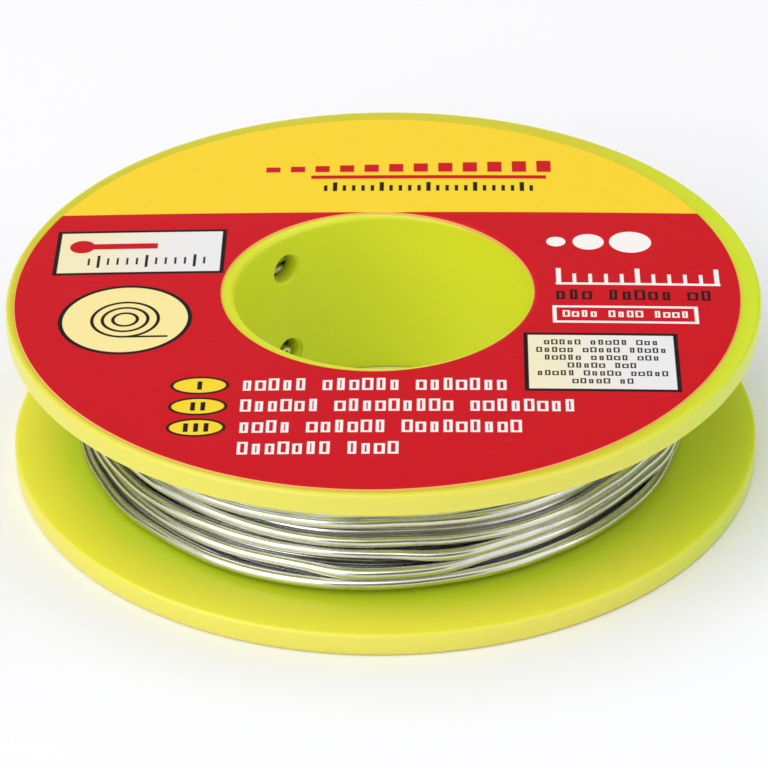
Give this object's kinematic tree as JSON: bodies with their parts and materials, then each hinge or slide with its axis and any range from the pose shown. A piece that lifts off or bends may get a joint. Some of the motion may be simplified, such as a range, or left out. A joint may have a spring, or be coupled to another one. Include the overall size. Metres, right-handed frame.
{
  "type": "solder wire spool",
  "caption": "Flanged plastic spool with a through bore and a printed ring label, full of flux-cored solder wire wound round its hub.",
  "frame": {"origin": "centre of the spool's lower face, on the surface it stands on", "axes": "+Z along the bore, up through the label; -Y is the side seen in the picture"},
  "size_m": [0.062, 0.062, 0.0151],
  "materials": {
    "spool_plastic": "gloss",
    "label_film": "satin",
    "solder_alloy": "polished",
    "flux_resin": "satin"
  },
  "bodies": {
    "root": {"spool_body": "spool_plastic", "face_label": "label_film", "solder_inner_layers": "solder_alloy", "solder_outer_turns": "solder_alloy", "solder_tail": "solder_alloy", "solder_start": "solder_alloy", "flux_core_tail": "flux_resin", "flux_core_start": "flux_resin"}
  },
  "joints": []
}
